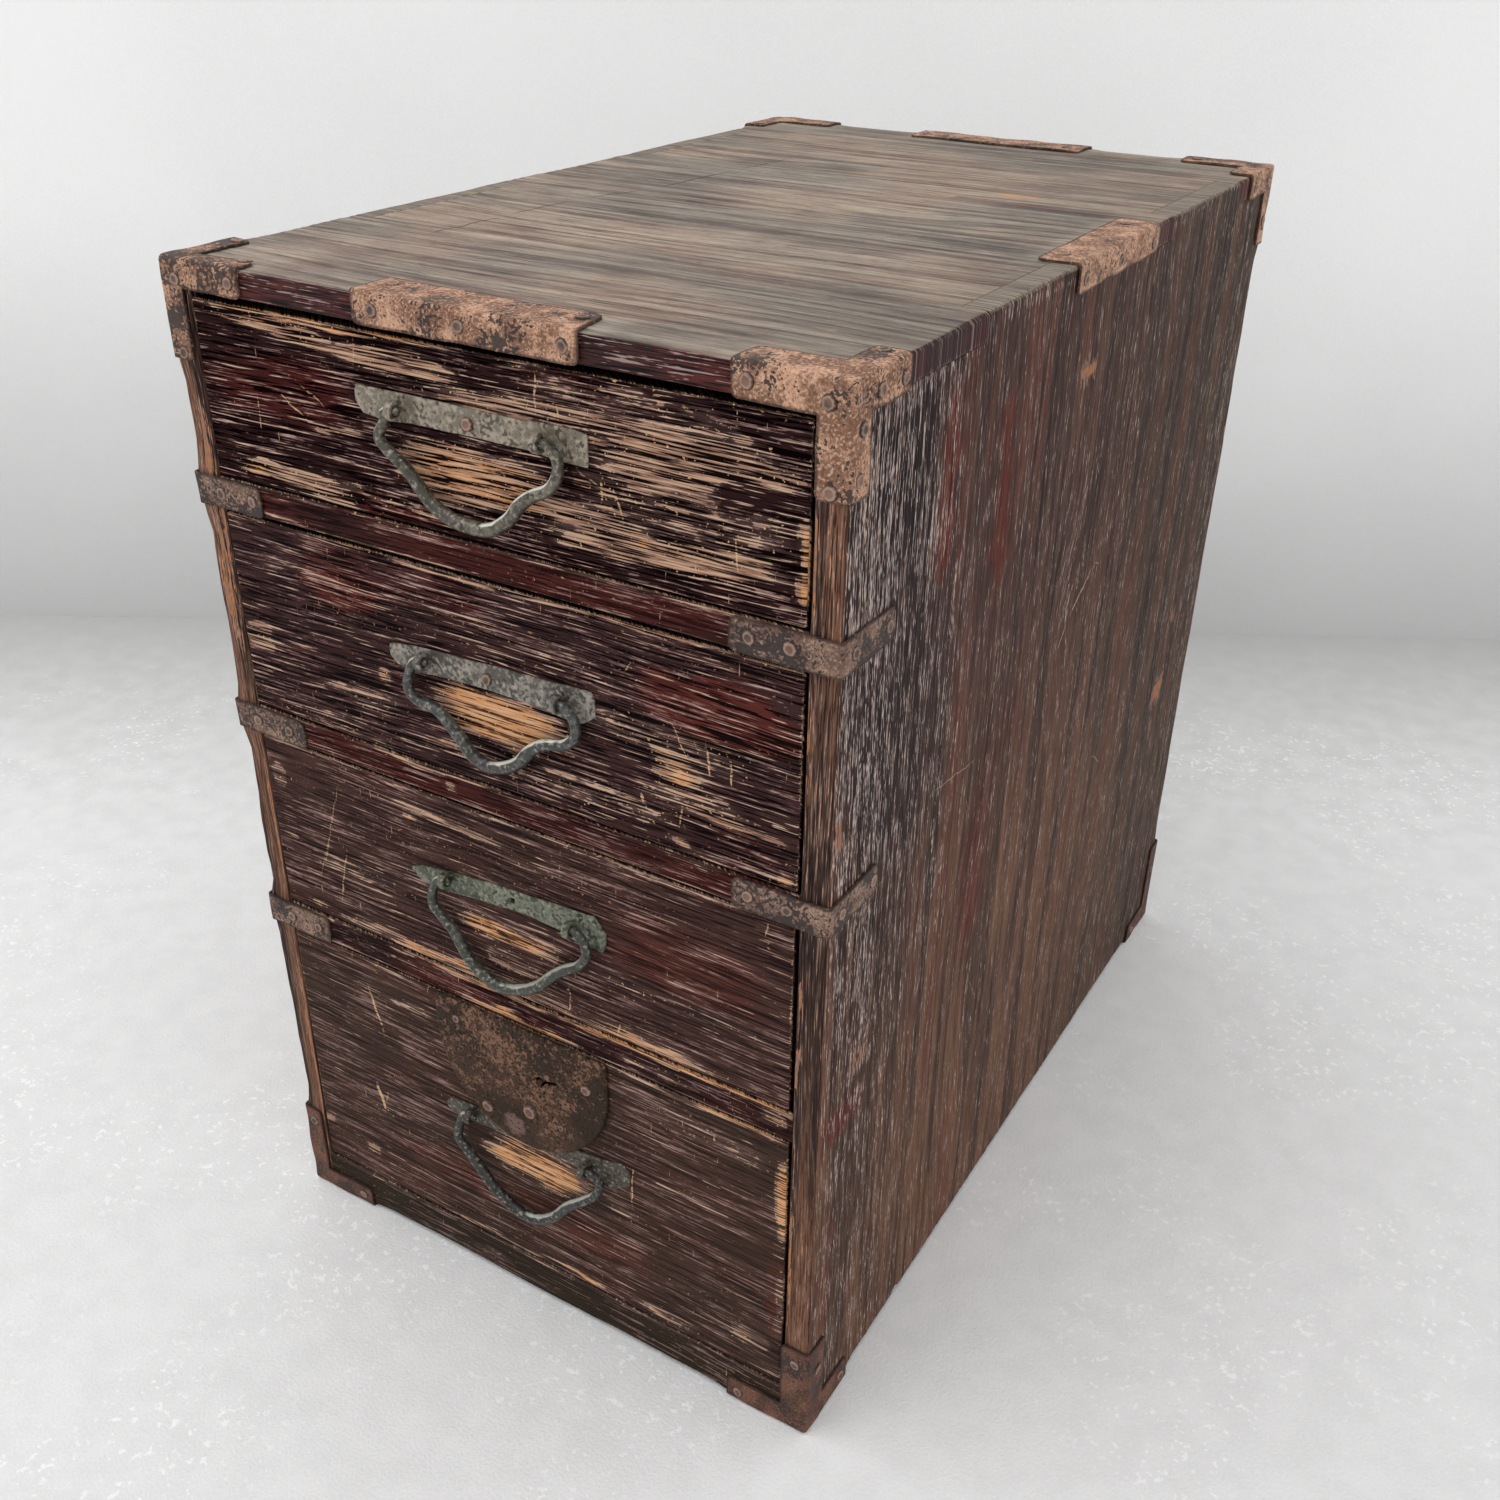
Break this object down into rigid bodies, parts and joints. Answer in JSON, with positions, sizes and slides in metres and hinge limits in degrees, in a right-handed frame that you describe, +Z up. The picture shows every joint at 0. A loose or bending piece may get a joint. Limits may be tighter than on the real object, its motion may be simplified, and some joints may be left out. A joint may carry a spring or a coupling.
{
  "type": "ship chest",
  "caption": "Tall narrow wooden ship chest with full-width drawers on hanging bail handles, iron-bound corners, edge and rail straps, and a shield-plate lock in the bottom drawer.",
  "frame": {"origin": "floor level, middle of the outer box with handles and nail heads", "axes": "+Z up, -Y towards the drawer fronts, +X to the right of someone facing them"},
  "size_m": [0.3056, 0.4832, 0.4856],
  "materials": {
    "top_wood": "dusty, matt, worn lacquer",
    "side_wood": "weathered dark brown lacquer",
    "front_wood": "dark red-brown lacquer worn to bare wood",
    "back_wood": "unfinished, smoke-darkened",
    "inner_wood": "unfinished",
    "drawer_wood": "unfinished paulownia",
    "case_iron": "rusted sheet iron with remains of black lacquer",
    "lock_iron": "dark patina with tan rust",
    "handle_metal": "grey-green patinated copper alloy"
  },
  "bodies": {
    "case": {"top_board": "top_wood", "bottom_board": "inner_wood", "left_side_board": "side_wood", "right_side_board": "side_wood", "back_boards": "back_wood", "sill_rail": "front_wood", "lock_rail": "front_wood", "middle_rail": "front_wood", "upper_rail": "front_wood", "dust_shelves": "inner_wood", "corner_top_front_left": "case_iron", "corner_top_front_right": "case_iron", "corner_top_back_left": "case_iron", "corner_top_back_right": "case_iron", "corner_bottom_front_left": "case_iron", "corner_bottom_front_right": "case_iron", "corner_bottom_back_left": "case_iron", "corner_bottom_back_right": "case_iron", "strap_top_front": "case_iron", "strap_top_right": "case_iron", "strap_top_back": "case_iron", "strap_upper_left": "case_iron", "strap_upper_right": "case_iron", "strap_middle_left": "case_iron", "strap_middle_right": "case_iron", "strap_lock_left": "case_iron", "case_nails": "case_iron", "back_pegs": "back_wood"},
    "drawer_1": {"drawer_1_front": "front_wood", "drawer_1_sides": "drawer_wood", "drawer_1_back": "drawer_wood", "drawer_1_bottom": "drawer_wood", "drawer_1_handle_plate": "handle_metal", "drawer_1_handle_pins": "handle_metal"},
    "handle_1": {"drawer_1_handle": "handle_metal"},
    "drawer_2": {"drawer_2_front": "front_wood", "drawer_2_sides": "drawer_wood", "drawer_2_back": "drawer_wood", "drawer_2_bottom": "drawer_wood", "drawer_2_handle_plate": "handle_metal", "drawer_2_handle_pins": "handle_metal"},
    "handle_2": {"drawer_2_handle": "handle_metal"},
    "drawer_3": {"drawer_3_front": "front_wood", "drawer_3_sides": "drawer_wood", "drawer_3_back": "drawer_wood", "drawer_3_bottom": "drawer_wood", "drawer_3_handle_plate": "handle_metal", "drawer_3_handle_pins": "handle_metal"},
    "handle_3": {"drawer_3_handle": "handle_metal"},
    "drawer_4": {"drawer_4_front": "front_wood", "drawer_4_sides": "drawer_wood", "drawer_4_back": "drawer_wood", "drawer_4_bottom": "drawer_wood", "drawer_4_handle_plate": "handle_metal", "drawer_4_handle_pins": "handle_metal", "lock_plate": "lock_iron", "lock_nails": "lock_iron", "lock_box": "lock_iron"},
    "handle_4": {"drawer_4_handle": "handle_metal"},
    "bolt": {"lock_bolt": "lock_iron"}
  },
  "joints": [
    {"name": "drawer_1_slide", "type": "slide", "parent": "case", "child": "drawer_1", "axis": [0, -1, 0], "range_m": [0, 0.38]},
    {"name": "handle_1_hinge", "type": "hinge", "parent": "drawer_1", "child": "handle_1", "pos_m": [-0.0004, -0.2377, 0.4438], "axis": [-1, 0, 0], "range_deg": [0, 170]},
    {"name": "drawer_2_slide", "type": "slide", "parent": "case", "child": "drawer_2", "axis": [0, -1, 0], "range_m": [0, 0.38]},
    {"name": "handle_2_hinge", "type": "hinge", "parent": "drawer_2", "child": "handle_2", "pos_m": [0.001, -0.2377, 0.3433], "axis": [-1, 0, 0], "range_deg": [0, 170]},
    {"name": "drawer_3_slide", "type": "slide", "parent": "case", "child": "drawer_3", "axis": [0, -1, 0], "range_m": [0, 0.38]},
    {"name": "handle_3_hinge", "type": "hinge", "parent": "drawer_3", "child": "handle_3", "pos_m": [0.0013, -0.2377, 0.2393], "axis": [-1, 0, 0], "range_deg": [0, 170]},
    {"name": "drawer_4_slide", "type": "slide", "parent": "case", "child": "drawer_4", "axis": [0, -1, 0], "range_m": [0, 0.38]},
    {"name": "handle_4_hinge", "type": "hinge", "parent": "drawer_4", "child": "handle_4", "pos_m": [0.002, -0.2377, 0.1056], "axis": [-1, 0, 0], "range_deg": [0, 170]},
    {"name": "lock_bolt_slide", "type": "slide", "parent": "drawer_4", "child": "bolt", "axis": [0, 0, 1], "range_m": [0, 0.008]}
  ]
}
